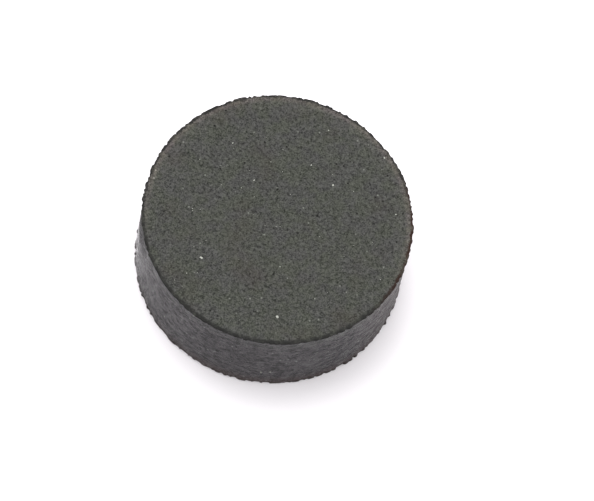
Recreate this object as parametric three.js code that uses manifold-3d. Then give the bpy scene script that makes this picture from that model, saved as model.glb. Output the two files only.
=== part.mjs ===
// A coin vibration motor in a moulded rubber jacket, in millimetres, +Z up.
// The origin is the centre of the jacket's bottom rim, and the rotor spins about Z.
// A steel can and base plate hold a fixed shaft, a ring magnet, a flex circuit and two brushes.
// An eccentric rotor turns on the shaft: coils and a tungsten weight in resin over a commutator.
import * as THREE from "three";
import { mergeVertices } from "three/addons/utils/BufferGeometryUtils.js";
import Module from "manifold-3d";

const wasm = await Module();
wasm.setup();

// Driving dimensions
const JACKET_RADIUS = 5.8;
const JACKET_HEIGHT = 4.45;
const CAN_RADIUS = 5.0;
const CAN_HEIGHT = 3.4;
const FOOT_RECESS = 0.25; // the rubber rim stands this far below the can
const SHEET = 0.2; // thickness of the can and the base plate
const FIT_GAP = 0.02; // between two pieces that fit into each other
const PRESS_GAP = 0.01; // between two pieces that are pressed together

const CAN_BOTTOM = FOOT_RECESS;
const CAN_TOP = CAN_BOTTOM + CAN_HEIGHT;
const CAN_BORE = CAN_RADIUS - SHEET;
const CAN_CORNER = 0.5; // outer radius of the drawn corner
const CRIMP_TAB = { count: 4, thickness: 0.15, innerRadius: 4.3, degrees: 20 };

const PLATE_BOTTOM = CAN_BOTTOM + CRIMP_TAB.thickness;
const PLATE_TOP = PLATE_BOTTOM + SHEET;
const PLATE_RADIUS = CAN_BORE - FIT_GAP;
const PLATE_NOTCH = { width: 2.6, y: -4.33 }; // the flex circuit folds round the edge here
const COLLAR = { radius: 0.7, height: 0.5 }; // the plate's burr, which grips the shaft

const SHAFT_RADIUS = 0.4;
const SHAFT_HOLE_RADIUS = SHAFT_RADIUS + PRESS_GAP;

const FLEX = { thickness: 0.1, radius: 4.6, hole: 0.76, neckWidth: 2.4, foldGap: 0.05 };
const FLEX_BOTTOM = PLATE_TOP;
const FLEX_TOP = FLEX_BOTTOM + FLEX.thickness;
const PADDLE = { width: 5.2, yLow: -3.2, yHigh: -1.2 }; // the flex circuit's outside end
const PAD = { width: 2.1, length: 1.5, thickness: 0.03, spacing: 2.8 };

const MAGNET = { outer: 4.6, inner: 2.4, height: 0.9 };

const WASHER = { outer: 0.8, inner: 0.43, thickness: 0.1 };
const LOWER_WASHER_BOTTOM = PLATE_TOP + COLLAR.height;
const BEARING_BOTTOM = LOWER_WASHER_BOTTOM + WASHER.thickness;
const BEARING = { outer: 0.9, inner: 0.42, height: 2.05 };
const BEARING_TOP = BEARING_BOTTOM + BEARING.height;

const BOARD = { bottom: 1.85, thickness: 0.2, radius: 4.4, hubRadius: 1.95 };
const BOARD_TOP = BOARD.bottom + BOARD.thickness;
const SEGMENT = { count: 6, inner: 1.05, outer: 1.85, gap: 0.12, thickness: 0.05 };
const SEGMENT_BOTTOM = BOARD.bottom - SEGMENT.thickness;

const ROTOR = { radius: 4.5, hubRadius: 1.38, height: 1.1, halfAngle: 100, heavySide: 90 };
const COIL = { outer: 1.4, inner: 0.55, height: 1.0, centreRadius: 2.85, angle: 65 };
const WEIGHT = { outer: 4.36, inner: 1.75, height: 1.15, halfAngle: 30 };

// The brush's arm rises from its heel and flattens out under the commutator at Y = 0.
const BRUSH = { x: -1.45, width: 0.5, thickness: 0.06, tipGap: 0.01 };
const BRUSH_LINE = { toe: -1.5, heel: -0.95, rise: -0.55, crest: -0.25, flatEnd: 0.3, tip: 0.75 };
const BRUSH_TIP_DROP = 0.16;
const SOLDER = { radius: 0.24, height: 0.1, y: -1.24 };

const FINE = 96; // facets round the casings
const MEDIUM = 48;
const SMALL = 32;
const COARSE = 16;
const GRID = 1e-3; // points of joined and cut solids are rounded to this

const radians = THREE.MathUtils.degToRad;
const polar = (radius, degrees) => [
  radius * Math.cos(radians(degrees)),
  radius * Math.sin(radians(degrees)),
];

const STEEL = new THREE.MeshStandardMaterial({ color: 0xb9bcc0, roughness: 0.35, metalness: 1 });
const COPPER = new THREE.MeshStandardMaterial({ color: 0xb5673a, roughness: 0.35, metalness: 1 });
const GOLD = new THREE.MeshStandardMaterial({ color: 0xd9b45a, roughness: 0.3, metalness: 1 });
const BRONZE = new THREE.MeshStandardMaterial({ color: 0x8f6a42, roughness: 0.6, metalness: 1 });
const MAGNET_METAL = new THREE.MeshStandardMaterial({ color: 0x6f7276, roughness: 0.4, metalness: 1 });
const TUNGSTEN = new THREE.MeshStandardMaterial({ color: 0x6a6c70, roughness: 0.55, metalness: 1 });
const TIN = new THREE.MeshStandardMaterial({ color: 0xc9ccd0, roughness: 0.3, metalness: 1 });
const RUBBER = new THREE.MeshStandardMaterial({ color: 0x535450, roughness: 0.85, metalness: 0 });
const POLYIMIDE = new THREE.MeshStandardMaterial({ color: 0xb5701d, roughness: 0.45, metalness: 0 });
const LAMINATE = new THREE.MeshStandardMaterial({ color: 0x2c5a3a, roughness: 0.6, metalness: 0 });
const RESIN = new THREE.MeshStandardMaterial({ color: 0x23262a, roughness: 0.6, metalness: 0 });
const NYLON = new THREE.MeshStandardMaterial({ color: 0xe9e4d6, roughness: 0.6, metalness: 0 });

const motor = new THREE.Group();

function addPiece(name, geometry, material) {
  const mesh = new THREE.Mesh(geometry, material);
  mesh.name = name;
  motor.add(mesh);
  return mesh;
}

// A solid of revolution about Z from [radius, z] points, listed with the material on their left.
function turned(points, facets) {
  const profile = points.map(([radius, z]) => new THREE.Vector2(radius, z));
  const closed = points[0][0] === 0 && points.at(-1)[0] === 0;
  if (!closed) profile.push(profile[0].clone());
  return new THREE.LatheGeometry(profile, facets).rotateX(Math.PI / 2);
}

// A flat ring or washer about Z.
function ring(inner, outer, bottom, height, facets) {
  const top = bottom + height;
  return turned([[inner, bottom], [outer, bottom], [outer, top], [inner, top]], facets);
}

// A quarter arc of [radius, z] points, from one angle to another about its centre.
function corner(centre, radius, fromDegrees, toDegrees, steps = 4) {
  return Array.from({ length: steps + 1 }, (_, i) => {
    const [dr, dz] = polar(radius, THREE.MathUtils.lerp(fromDegrees, toDegrees, i / steps));
    return [centre[0] + dr, centre[1] + dz];
  });
}

// A plan outline standing upright from bottom, with flat ends.
function slab(shape, bottom, height, curveSegments = 12) {
  const options = { depth: height, bevelEnabled: false, curveSegments };
  return new THREE.ExtrudeGeometry(shape, options).translate(0, 0, bottom);
}

// The plan outline of a stretch of a ring, centred on an angle.
function ringSector(inner, outer, middleDegrees, halfDegrees) {
  const from = radians(middleDegrees - halfDegrees);
  const to = radians(middleDegrees + halfDegrees);
  const shape = new THREE.Shape();
  shape.absarc(0, 0, outer, from, to, false);
  shape.absarc(0, 0, inner, to, from, true);
  shape.closePath();
  return shape;
}

function circle(x, y, radius) {
  return new THREE.Path().absarc(x, y, radius, 0, 2 * Math.PI, true);
}

function rectangle(xLow, yLow, xHigh, yHigh) {
  const corners = [[xLow, yLow], [xHigh, yLow], [xHigh, yHigh], [xLow, yHigh]];
  return new THREE.Shape(corners.map(([x, y]) => new THREE.Vector2(x, y)));
}

// A sector of the rotor on its heavy side, joined to a full disc round the bearing.
function rotorPlan(radius, hubRadius) {
  const from = radians(ROTOR.heavySide - ROTOR.halfAngle);
  const to = radians(ROTOR.heavySide + ROTOR.halfAngle);
  const plan = new THREE.Shape();
  plan.absarc(0, 0, radius, from, to, false);
  plan.absarc(0, 0, hubRadius, to, from + 2 * Math.PI, false);
  plan.closePath();
  plan.holes.push(circle(0, 0, BEARING.outer + PRESS_GAP));
  return plan;
}

// A strip bent along a [y, z] line and extruded along X, centred on x.
function bentStrip(line, thickness, width, x) {
  const points = line.map(([y, z]) => new THREE.Vector2(y, z));
  const side = (sign) =>
    points.map((point, i) => {
      const before = points[Math.max(i - 1, 0)];
      const after = points[Math.min(i + 1, points.length - 1)];
      const along = after.clone().sub(before).normalize();
      const normal = new THREE.Vector2(-along.y, along.x);
      return point.clone().addScaledVector(normal, (sign * thickness) / 2);
    });
  const outline = new THREE.Shape([...side(-1), ...side(1).reverse()]);
  const strip = new THREE.ExtrudeGeometry(outline, { depth: width, bevelEnabled: false });
  // the outline's own x and y become Y and Z, and its depth becomes X
  const axes = new THREE.Matrix4().set(0, 0, 1, x - width / 2, 1, 0, 0, 0, 0, 1, 0, 0, 0, 0, 0, 1);
  return strip.applyMatrix4(axes);
}

// A manifold-3d solid. Its points are rounded to a grid, so that level faces meet exactly.
function toSolid(geometry) {
  const bare = geometry.index ? geometry.toNonIndexed() : geometry.clone();
  bare.deleteAttribute("normal");
  bare.deleteAttribute("uv");
  const positions = bare.attributes.position.array;
  positions.forEach((value, i) => {
    positions[i] = Math.round(value / GRID) * GRID;
  });
  const merged = mergeVertices(bare, GRID / 2);
  const mesh = new wasm.Mesh({
    numProp: 3,
    vertProperties: merged.attributes.position.array,
    triVerts: new Uint32Array(merged.index.array),
  });
  return new wasm.Manifold(mesh);
}

function toGeometry(solid) {
  const mesh = solid.getMesh();
  const geometry = new THREE.BufferGeometry();
  geometry.setAttribute("position", new THREE.BufferAttribute(mesh.vertProperties, 3));
  geometry.setIndex(new THREE.BufferAttribute(mesh.triVerts, 1));
  return geometry;
}

// The moulded cup that covers the whole motor and stands on its rim.
function rubberJacket() {
  const bore = CAN_RADIUS + FIT_GAP;
  const edge = 0.09; // small radius at the outside edges
  const leadIn = 0.15; // chamfer at the mouth
  const inner = 0.9 * CAN_CORNER; // clears the can's rounded corner
  return turned(
    [
      [0, CAN_TOP],
      ...corner([bore - inner, CAN_TOP - inner], inner, 90, 0),
      [bore, leadIn],
      [bore + leadIn, 0],
      ...corner([JACKET_RADIUS - edge, edge], edge, -90, 0, 3),
      ...corner([JACKET_RADIUS - edge, JACKET_HEIGHT - edge], edge, 0, 90, 3),
      [0, JACKET_HEIGHT],
    ],
    FINE,
  );
}

// A drawn cup, with a hole for the shaft's end and tabs crimped under the base plate.
function steelCan() {
  const bend = CAN_CORNER - SHEET;
  const cup = turned(
    [
      [SHAFT_HOLE_RADIUS, CAN_TOP - SHEET],
      ...corner([CAN_BORE - bend, CAN_TOP - SHEET - bend], bend, 90, 0),
      [CAN_BORE, CAN_BOTTOM],
      [CAN_RADIUS, CAN_BOTTOM],
      ...corner([CAN_RADIUS - CAN_CORNER, CAN_TOP - CAN_CORNER], CAN_CORNER, 0, 90),
      [SHAFT_HOLE_RADIUS, CAN_TOP],
    ],
    FINE,
  );
  let can = toSolid(cup);
  const reach = CAN_RADIUS - SHEET / 2; // each tab starts inside the wall
  for (let i = 0; i < CRIMP_TAB.count; i++) {
    const middle = 45 + (i * 360) / CRIMP_TAB.count;
    const plan = ringSector(CRIMP_TAB.innerRadius, reach, middle, CRIMP_TAB.degrees / 2);
    can = can.add(toSolid(slab(plan, CAN_BOTTOM, CRIMP_TAB.thickness, COARSE / 4)));
  }
  return toGeometry(can);
}

// A flat plate with a burred collar for the shaft and a notch for the flex circuit's fold.
function basePlate() {
  const collarTop = PLATE_TOP + COLLAR.height;
  const plate = turned(
    [
      [SHAFT_HOLE_RADIUS, PLATE_BOTTOM],
      [PLATE_RADIUS, PLATE_BOTTOM],
      [PLATE_RADIUS, PLATE_TOP],
      [COLLAR.radius, PLATE_TOP],
      [COLLAR.radius, collarTop],
      [SHAFT_HOLE_RADIUS, collarTop],
    ],
    FINE,
  );
  const half = PLATE_NOTCH.width / 2;
  const notch = rectangle(-half, -CAN_RADIUS, half, PLATE_NOTCH.y);
  const cutter = slab(notch, PLATE_BOTTOM - SHEET, 3 * SHEET);
  return toGeometry(toSolid(plate).subtract(toSolid(cutter)));
}

// The fixed steel pin, from the base plate's underside to the can's top.
function shaft() {
  const chamfer = 0.05;
  return turned(
    [
      [0, PLATE_BOTTOM],
      [SHAFT_RADIUS - chamfer, PLATE_BOTTOM],
      [SHAFT_RADIUS, PLATE_BOTTOM + chamfer],
      [SHAFT_RADIUS, CAN_TOP - chamfer],
      [SHAFT_RADIUS - chamfer, CAN_TOP],
      [0, CAN_TOP],
    ],
    SMALL,
  );
}

// One sheet: a disc under the magnet, a neck folded round the base plate's edge,
// and a paddle under the base plate that carries the contact pads.
function flexCircuit() {
  const discPlan = new THREE.Shape().absarc(0, 0, FLEX.radius, 0, 2 * Math.PI, false);
  discPlan.holes.push(circle(0, 0, FLEX.hole));
  const edge = rectangle(-CAN_RADIUS, -CAN_RADIUS, CAN_RADIUS, PLATE_NOTCH.y);
  const disc = toSolid(slab(discPlan, FLEX_BOTTOM, FLEX.thickness, MEDIUM)).subtract(
    toSolid(slab(edge, PLATE_BOTTOM, 3 * SHEET)),
  );

  const lowerLine = PLATE_BOTTOM - FLEX.thickness / 2;
  const upperLine = FLEX_BOTTOM + FLEX.thickness / 2;
  const foldCentre = [PLATE_NOTCH.y - FLEX.foldGap, (upperLine + lowerLine) / 2];
  const foldRadius = (upperLine - lowerLine) / 2;
  const overlap = 3 * FLEX.thickness; // the neck runs this far into the disc and the paddle
  const neckLine = [
    [PLATE_NOTCH.y + overlap, upperLine],
    [PLATE_NOTCH.y, upperLine],
    ...corner(foldCentre, foldRadius, 90, 270, 8),
    [PADDLE.yLow - overlap, lowerLine],
    [PADDLE.yLow + overlap, lowerLine],
  ];
  const neck = toSolid(bentStrip(neckLine, FLEX.thickness, FLEX.neckWidth, 0));

  const half = PADDLE.width / 2;
  const paddlePlan = rectangle(-half, PADDLE.yLow, half, PADDLE.yHigh);
  const paddle = toSolid(slab(paddlePlan, PLATE_BOTTOM - FLEX.thickness, FLEX.thickness));
  return toGeometry(disc.add(neck).add(paddle));
}

// A gold-plated land on the paddle's underside.
function contactPad(side) {
  const x = (side * PAD.spacing) / 2;
  const y = (PADDLE.yLow + PADDLE.yHigh) / 2;
  const plan = rectangle(x - PAD.width / 2, y - PAD.length / 2, x + PAD.width / 2, y + PAD.length / 2);
  return slab(plan, PLATE_BOTTOM - FLEX.thickness - PAD.thickness, PAD.thickness);
}

// A leaf spring: a foot on the flex circuit, and an arm that rises to the commutator.
function brush() {
  const footZ = FLEX_TOP + BRUSH.thickness / 2;
  const contactZ = SEGMENT_BOTTOM - BRUSH.tipGap - BRUSH.thickness / 2;
  const arm = new THREE.CubicBezierCurve(
    new THREE.Vector2(BRUSH_LINE.heel, footZ),
    new THREE.Vector2(BRUSH_LINE.rise, footZ + BRUSH.thickness),
    new THREE.Vector2(BRUSH_LINE.crest, contactZ),
    new THREE.Vector2(BRUSH_LINE.flatEnd, contactZ),
  );
  const tip = new THREE.QuadraticBezierCurve(
    new THREE.Vector2(BRUSH_LINE.flatEnd, contactZ),
    new THREE.Vector2((BRUSH_LINE.flatEnd + BRUSH_LINE.tip) / 2, contactZ),
    new THREE.Vector2(BRUSH_LINE.tip, contactZ - BRUSH_TIP_DROP),
  );
  const line = [
    [BRUSH_LINE.toe, footZ],
    ...arm.getPoints(12).map((point) => [point.x, point.y]),
    ...tip.getPoints(4).slice(1).map((point) => [point.x, point.y]),
  ];
  return bentStrip(line, BRUSH.thickness, BRUSH.width, BRUSH.x);
}

// A low fillet of solder on a brush's foot.
function solderJoint() {
  const bottom = FLEX_TOP + BRUSH.thickness;
  const dome = corner([0, 0], 1, 0, 90, 5).map(([radius, height]) => [
    radius * SOLDER.radius,
    bottom + height * SOLDER.height,
  ]);
  dome.at(-1)[0] = 0; // exactly on the axis
  return turned([[0, bottom], ...dome], COARSE).translate(BRUSH.x, SOLDER.y, 0);
}

// The sector of moulded resin that holds the coils and the weight round the hub.
function rotorFrame() {
  const plan = rotorPlan(ROTOR.radius, ROTOR.hubRadius);
  for (const side of [-1, 1]) {
    const [x, y] = coilCentre(side);
    plan.holes.push(circle(x, y, COIL.outer + FIT_GAP));
  }
  const halfAngle = WEIGHT.halfAngle + THREE.MathUtils.radToDeg(FIT_GAP / WEIGHT.inner);
  const [inner, outer] = [WEIGHT.inner - FIT_GAP, WEIGHT.outer + FIT_GAP];
  plan.holes.push(ringSector(inner, outer, ROTOR.heavySide, halfAngle));
  return slab(plan, BOARD_TOP, ROTOR.height, SMALL);
}

function coilCentre(side) {
  return polar(COIL.centreRadius, ROTOR.heavySide + side * COIL.angle);
}

// A flat round winding with its outside edges bevelled.
function coil(side) {
  const edge = 0.12; // bevel at the outside edges
  const top = BOARD_TOP + COIL.height;
  const winding = turned(
    [
      [COIL.inner, BOARD_TOP],
      [COIL.outer - edge, BOARD_TOP],
      [COIL.outer, BOARD_TOP + edge],
      [COIL.outer, top - edge],
      [COIL.outer - edge, top],
      [COIL.inner, top],
    ],
    MEDIUM,
  );
  return winding.translate(...coilCentre(side), 0);
}

// A block of sintered tungsten between the two coils.
function counterweight() {
  const plan = ringSector(WEIGHT.inner, WEIGHT.outer, ROTOR.heavySide, WEIGHT.halfAngle);
  return slab(plan, BOARD_TOP, WEIGHT.height, COARSE);
}

// The rotor's circuit board: a full disc under the hub and a sector under the coils.
function commutatorBoard() {
  return slab(rotorPlan(BOARD.radius, BOARD.hubRadius), BOARD.bottom, BOARD.thickness, SMALL);
}

// One gold-plated bar of the commutator, on the board's underside.
function commutatorSegment(index) {
  const pitch = 360 / SEGMENT.count;
  const middleRadius = (SEGMENT.inner + SEGMENT.outer) / 2;
  const gapDegrees = THREE.MathUtils.radToDeg(SEGMENT.gap / middleRadius);
  const middle = (index + 0.5) * pitch;
  const plan = ringSector(SEGMENT.inner, SEGMENT.outer, middle, (pitch - gapDegrees) / 2);
  return slab(plan, SEGMENT_BOTTOM, SEGMENT.thickness, COARSE / 2);
}

// The oil-filled sleeve that the rotor turns on.
function bearing() {
  const chamfer = 0.06;
  return turned(
    [
      [BEARING.inner, BEARING_BOTTOM],
      [BEARING.outer - chamfer, BEARING_BOTTOM],
      [BEARING.outer, BEARING_BOTTOM + chamfer],
      [BEARING.outer, BEARING_TOP - chamfer],
      [BEARING.outer - chamfer, BEARING_TOP],
      [BEARING.inner, BEARING_TOP],
    ],
    SMALL,
  );
}

// A thrust washer at one end of the bearing.
function washer(bottom) {
  return ring(WASHER.inner, WASHER.outer, bottom, WASHER.thickness, SMALL);
}

// Casings
addPiece("rubber_jacket", rubberJacket(), RUBBER);
addPiece("steel_can", steelCan(), STEEL);
addPiece("base_plate", basePlate(), STEEL);

// Stator
addPiece("shaft", shaft(), STEEL);
addPiece(
  "ring_magnet",
  ring(MAGNET.inner, MAGNET.outer, FLEX_TOP, MAGNET.height, FINE),
  MAGNET_METAL,
);
addPiece("flex_circuit", flexCircuit(), POLYIMIDE);
[["positive", 1], ["negative", -1]].forEach(([polarity, side]) => {
  addPiece(`contact_pad_${polarity}`, contactPad(side), GOLD);
  const turn = side > 0 ? Math.PI : 0; // the second brush is the first turned half round
  addPiece(`brush_${polarity}`, brush().rotateZ(turn), BRONZE);
  addPiece(`solder_joint_${polarity}`, solderJoint().rotateZ(turn), TIN);
});
addPiece("lower_washer", washer(LOWER_WASHER_BOTTOM), NYLON);
addPiece("upper_washer", washer(BEARING_TOP), NYLON);

// Rotor
addPiece("bearing", bearing(), BRONZE);
addPiece("rotor_frame", rotorFrame(), RESIN);
addPiece("commutator_board", commutatorBoard(), LAMINATE);
for (let i = 0; i < SEGMENT.count; i++) {
  addPiece(`commutator_segment_${i + 1}`, commutatorSegment(i), GOLD);
}
addPiece("coil_left", coil(1), COPPER);
addPiece("coil_right", coil(-1), COPPER);
addPiece("counterweight", counterweight(), TUNGSTEN);

export default motor;
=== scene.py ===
# A coin vibration motor in a moulded rubber jacket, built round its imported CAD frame.
# Sizes are in millimetres until finished() turns a piece into metres.
import math

import bmesh
import bpy
import numpy as np
from mathutils import Matrix, Vector, noise


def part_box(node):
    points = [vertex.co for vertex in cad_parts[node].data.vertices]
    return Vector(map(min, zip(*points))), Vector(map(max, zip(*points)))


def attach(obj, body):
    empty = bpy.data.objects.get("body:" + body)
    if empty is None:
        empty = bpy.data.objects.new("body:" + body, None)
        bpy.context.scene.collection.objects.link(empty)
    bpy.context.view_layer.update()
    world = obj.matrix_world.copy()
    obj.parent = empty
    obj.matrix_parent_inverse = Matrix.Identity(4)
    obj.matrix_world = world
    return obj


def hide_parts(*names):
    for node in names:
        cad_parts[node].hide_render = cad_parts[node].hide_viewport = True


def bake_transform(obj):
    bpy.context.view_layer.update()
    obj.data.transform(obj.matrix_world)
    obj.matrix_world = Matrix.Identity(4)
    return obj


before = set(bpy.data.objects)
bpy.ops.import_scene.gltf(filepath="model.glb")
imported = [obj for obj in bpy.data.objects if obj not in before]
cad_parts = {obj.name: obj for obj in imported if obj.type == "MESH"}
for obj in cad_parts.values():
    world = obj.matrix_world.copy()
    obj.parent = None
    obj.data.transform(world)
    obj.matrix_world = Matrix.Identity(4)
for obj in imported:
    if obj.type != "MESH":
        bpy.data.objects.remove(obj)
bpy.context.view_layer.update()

MM = 0.001


def reach(node):
    """A node's lowest and highest corners, in millimetres."""
    return [[value / MM for value in corner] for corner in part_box(node)]


def outer_radius(node):
    return reach(node)[1][0]


def centre_of(node):
    """The middle of a node's box in x and y."""
    low, high = reach(node)
    return (low[0] + high[0]) / 2, (low[1] + high[1]) / 2


def levels(node):
    """The heights of a node's underside and top."""
    low, high = reach(node)
    return low[2], high[2]


# Driving sizes, from the frame
JACKET_RADIUS = outer_radius("rubber_jacket")
JACKET_HEIGHT = levels("rubber_jacket")[1]
CAN_RADIUS = outer_radius("steel_can")
CAN_BOTTOM, CAN_TOP = levels("steel_can")
PLATE_BOTTOM, COLLAR_TOP = levels("base_plate")
SHAFT_RADIUS = outer_radius("shaft")
BEARING_RADIUS = outer_radius("bearing")
BAR_COUNT = sum(node.startswith("commutator_segment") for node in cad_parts)

# Sizes that the frame's boxes don't give
SHEET = 0.2  # thickness of the can and the base plate
FIT_GAP = 0.02  # between pieces that fit into each other
PRESS_GAP = 0.01  # between pieces that are pressed together
COLLAR_RADIUS = 0.7  # the base plate's burr, which grips the shaft
TAB_INNER, TAB_HALF_WIDTH = 4.3, 0.82  # the can's crimped tabs
NOTCH_Y, NOTCH_HALF_WIDTH = -4.33, 1.3  # where the flex circuit folds round the base plate
MAGNET_BORE, BEARING_BORE, WASHER_BORE = 2.4, 0.42, 0.43
FILM, FILM_RADIUS, FILM_HOLE, NECK_WIDTH = 0.08, 4.6, 0.76, 2.4
FILM_LOW = levels("flex_circuit")[1] - 0.1  # underside of the flex circuit's disc
PADDLE = (-2.6, -3.2, 2.6, -1.2)  # the flex circuit's outside end, as two corners
PADDLE_LOW = PLATE_BOTTOM - 0.09
BRUSH_THICKNESS, BRUSH_WIDTH = 0.06, 0.5
BAR_INNER, BAR_OUTER, BAR_GAP = 1.05, 1.85, 0.12

HEAVY_SIDE = 90  # the direction of the rotor's weight, in degrees
ROTOR_HALF_ANGLE, WEIGHT_HALF_ANGLE = 100, 30
ROTOR_RADIUS, ROTOR_HUB, ROTOR_CORNER = 4.5, 1.38, 0.18
BOARD_RADIUS, BOARD_HUB = 4.4, 1.95
WEIGHT_INNER, WEIGHT_OUTER = 1.75, 4.36
COIL_RADIUS, COIL_BORE, COIL_CENTRE_RADIUS = 1.4, 0.55, 2.85
COIL_DIRECTIONS = {"coil_left": 155, "coil_right": 25}

# Larger grains of filler: x, y and diameter on top, and an angle, z and diameter on the side
TOP_GRAINS = [
    (-2.8, -2.6, 0.13), (0.9, -4.5, 0.13), (2.0, 2.1, 0.12), (3.9, 3.9, 0.1), (0.9, 2.8, 0.08),
    (-1.35, 1.5, 0.07), (0.55, -2.2, 0.06), (-2.6, 3.0, 0.06), (1.3, 4.6, 0.06), (4.9, 1.4, 0.07),
]
SIDE_GRAINS = [
    (-82.5, 1.2, 0.09), (-78.7, 1.3, 0.1), (-116, 4.3, 0.12), (-131, 1.6, 0.06), (-60, 2.9, 0.06),
]
SMALL_GRAINS = 60

# The camera's view of the part
LENS, SENSOR_WIDTH = 303.03, 36
CAMERA_DISTANCE = 36.84 * JACKET_RADIUS
CAMERA_ELEVATION, CAMERA_ROLL = 65.2, 12.8
AIM_RIGHT, AIM_DOWN = 0.82, 1.38  # the part stands left of the picture's centre, and above it
FLOOR_REACH = 400


# ---------------- shapes, in millimetres

def placed(name, data):
    made = bpy.data.objects.new(name, data)
    bpy.context.scene.collection.objects.link(made)
    return made


def mesh_object(name, points, faces):
    mesh = bpy.data.meshes.new(name)
    mesh.from_pydata(points, [], faces)
    return placed(name, mesh)


def band(ring, following):
    """The faces between two closed rings of points, either of which may be one point repeated."""
    corners = zip(ring, ring[1:] + ring[:1], following[1:] + following[:1], following)
    faces = [tuple(dict.fromkeys(face)) for face in corners]
    return [face for face in faces if len(face) > 2]


def cleaned(made, merge=1e-4):
    """Joins points that coincide, drops empty faces and turns every face outwards."""
    work = bmesh.new()
    work.from_mesh(made.data)
    bmesh.ops.remove_doubles(work, verts=work.verts, dist=merge)
    bmesh.ops.dissolve_degenerate(work, edges=work.edges, dist=merge / 2)
    bmesh.ops.recalc_face_normals(work, faces=work.faces)
    if work.calc_volume(signed=True) < 0:
        bmesh.ops.reverse_faces(work, faces=work.faces)
    work.to_mesh(made.data)
    work.free()
    return made


def final_mesh(made):
    """An object's mesh, with its modifiers or its bevel applied."""
    graph = bpy.context.evaluated_depsgraph_get()
    return bpy.data.meshes.new_from_object(made.evaluated_get(graph))


def joined(base, other, operation="UNION"):
    """The base made one with the other solid."""
    modifier = base.modifiers.new("combine", "BOOLEAN")
    modifier.operation = operation
    modifier.solver = "EXACT"
    modifier.object = other
    mesh = final_mesh(base)
    base.modifiers.clear()
    base.data = mesh
    bpy.data.objects.remove(other)
    return base


def cut(base, outline, bottom, top, edge):
    """The base without the room that a plate of this outline takes up."""
    return joined(base, plate("cutter", [outline], bottom, top, edge), "DIFFERENCE")


def finished(made, body, slot, node=None, sharp_degrees=35, look=None, bends_from=None):
    """Turns a solid into metres, shades it, and makes it ride on a body in place of a CAD node.

    With bends_from, it stays where it is and rides on no body; its two points in millimetres are
    not used.
    """
    made.data.transform(Matrix.Scale(MM, 4))
    made.data.shade_smooth()
    made.data.set_sharp_from_angle(angle=math.radians(sharp_degrees))
    made.data.materials.clear()
    made.data.materials.append(materials[look or slot])
    if bends_from:
        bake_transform(made)
    else:
        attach(made, body)
    if node:
        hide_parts(node)
    return made


def polar(radius, degrees):
    return radius * math.cos(math.radians(degrees)), radius * math.sin(math.radians(degrees))


def arc(centre, radius, from_degrees, to_degrees, steps):
    """Points of an arc about a centre, both ends included."""
    angles = np.radians(np.linspace(from_degrees, to_degrees, steps + 1))
    return [(centre[0] + radius * math.cos(a), centre[1] + radius * math.sin(a)) for a in angles]


def circle(x, y, radius, steps=64):
    return arc((x, y), radius, 0, 360 - 360 / steps, steps - 1)


def straight(start, end, steps):
    """Points from start, left out, to end."""
    return [tuple(point) for point in np.linspace(start, end, steps + 1)[1:]]


def rounded(corners, steps=4):
    """A closed outline from (x, y) corners, and (x, y, radius) corners that are rounded off."""
    outline = []
    for i, corner in enumerate(corners):
        here = Vector(corner[:2])
        if len(corner) == 2:
            outline.append(tuple(here))
            continue
        radius = corner[2]
        to_last = (Vector(corners[i - 1][:2]) - here).normalized()
        to_next = (Vector(corners[(i + 1) % len(corners)][:2]) - here).normalized()
        half = to_last.angle(to_next) / 2
        centre = here + (to_last + to_next).normalized() * radius / math.sin(half)
        first = here + to_last * radius / math.tan(half) - centre
        last = here + to_next * radius / math.tan(half) - centre
        start = math.degrees(math.atan2(first.y, first.x))
        turn = math.degrees(last.angle_signed(first))
        outline += arc(centre, radius, start, start + turn, steps)
    return outline


def softened(corner, before, after, ease, steps=4):
    """Points of a smooth bend near a corner, between the lines to its neighbours."""
    corner = Vector(corner)
    start = corner + (Vector(before) - corner).normalized() * ease
    end = corner + (Vector(after) - corner).normalized() * ease
    shares = np.linspace(0, 1, steps + 1)
    return [tuple(start.lerp(corner, t).lerp(corner.lerp(end, t), t)) for t in shares]


def box_corners(x_low, y_low, x_high, y_high, radius, steps=4):
    corners = [(x_low, y_low), (x_high, y_low), (x_high, y_high), (x_low, y_high)]
    return rounded([(*corner, radius) for corner in corners], steps)


def sector(inner, outer, middle, half, steps=24, corner=0.0):
    """The outline of a stretch of a ring, centred on an angle in degrees."""
    low, high = middle - half, middle + half
    ease_out, ease_in = math.degrees(corner / outer), math.degrees(corner / inner)
    outside = arc((0, 0), outer, low + ease_out, high - ease_out, steps)
    inside = arc((0, 0), inner, high - ease_in, low + ease_in, steps)
    if not corner:
        return outside + inside
    end = softened(polar(outer, high), outside[-1], polar(inner, high), corner)
    end += softened(polar(inner, high), polar(outer, high), inside[0], corner)
    start = softened(polar(inner, low), inside[-1], polar(outer, low), corner)
    start += softened(polar(outer, low), polar(inner, low), outside[0], corner)
    return outside + end + inside + start


def turned(name, corners, segments=128, steps=4):
    """A solid of revolution about Z from the (radius, z) corners of its section."""
    points, faces, rows = [], [], []
    for radius, z in rounded(corners, steps):
        around = segments if radius > 1e-6 else 1
        rows.append([len(points) + k % around for k in range(segments)])
        for k in range(around):
            angle = 2 * math.pi * k / segments
            points.append((radius * math.cos(angle), radius * math.sin(angle), z))
    for i, row in enumerate(rows):
        faces += band(rows[i - 1], row)
    return cleaned(mesh_object(name, points, faces))


def ring_section(node, bore, inner_edge, outer_edge):
    """The corners of a flat ring's section, with their roundings, from its node and its bore."""
    (low, high), outer = levels(node), outer_radius(node)
    outside = [(outer, low, outer_edge), (outer, high, outer_edge)]
    return [(bore, low, inner_edge), *outside, (bore, high, inner_edge)]


def curve_points(curve, kind, places):
    """Adds a line through places, each (x, y, z, weight), to a curve."""
    spline = curve.splines.new(kind)
    spline.points.add(len(places) - 1)
    for point, place in zip(spline.points, places):
        point.co = place
    return spline


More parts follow.
